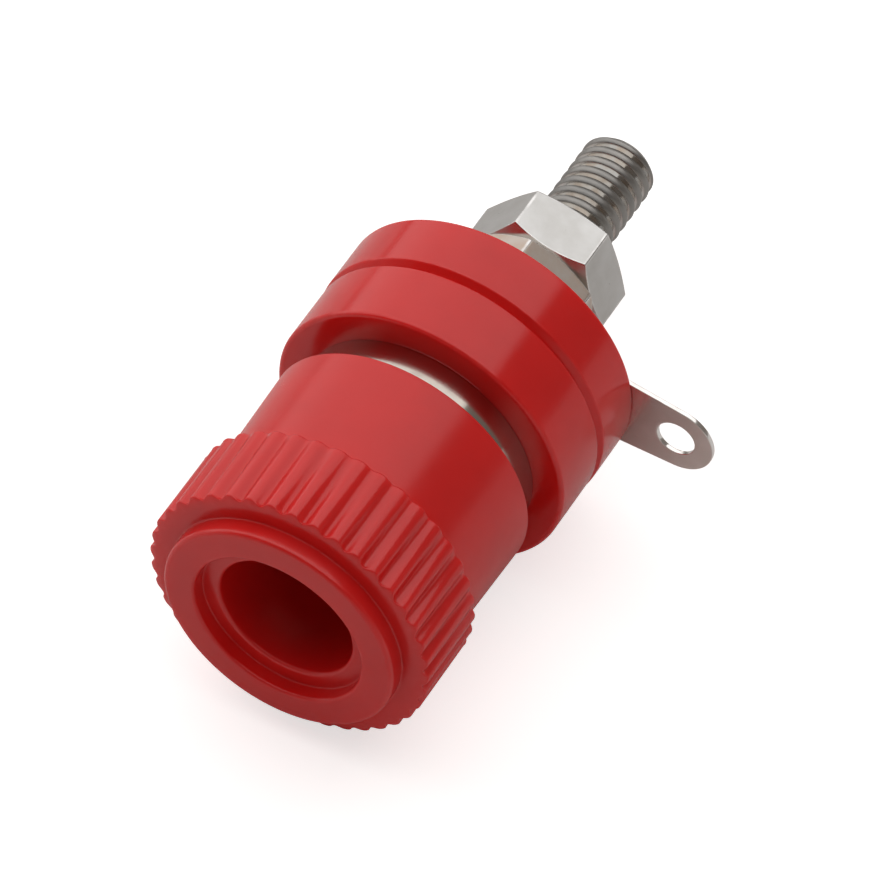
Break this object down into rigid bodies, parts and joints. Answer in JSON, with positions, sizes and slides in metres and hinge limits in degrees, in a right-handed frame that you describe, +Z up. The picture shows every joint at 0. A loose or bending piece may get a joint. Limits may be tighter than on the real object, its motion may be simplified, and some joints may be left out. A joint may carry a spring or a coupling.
{
  "type": "banana socket",
  "caption": "Red insulated panel socket for a banana plug: fluted screw cap over a flanged post, insulating discs, threaded stud with nuts and a solder tag.",
  "frame": {"origin": "on the socket's axis, in the plane where the front insulator seats on the panel", "axes": "+Y along the axis to the rear, towards the stud; the cap is at the front, towards -Y; +Z is up and the solder tag lies near +X"},
  "size_m": [0.02, 0.0338, 0.0156],
  "materials": {
    "red_plastic": "moulded, satin gloss",
    "nickel_brass": "turned and nickel plated",
    "nickel_steel": "nickel plated",
    "tinned_brass": "stamped and tinned"
  },
  "bodies": {
    "socket_body": {"post": "nickel_brass", "front_insulator": "red_plastic", "rear_insulator": "red_plastic", "solder_lug": "tinned_brass", "lock_washer": "nickel_steel", "inner_nut": "nickel_steel", "outer_nut": "nickel_steel"},
    "cap_bush": {"cap_insert": "nickel_brass"},
    "cap_shell": {"cap": "red_plastic"}
  },
  "joints": [
    {"name": "cap_travel", "type": "slide", "parent": "socket_body", "child": "cap_bush", "axis": [0, -1, 0], "range_m": [0, 0.0035]},
    {"name": "cap_turn", "type": "hinge", "parent": "cap_bush", "child": "cap_shell", "pos_m": [0, -0.011, 0], "axis": [0, -1, 0], "range_deg": [0, 1680]}
  ],
  "couplings": [
    {"joint": "cap_turn", "follows": "cap_travel", "rad_per_m": 8377.6}
  ]
}
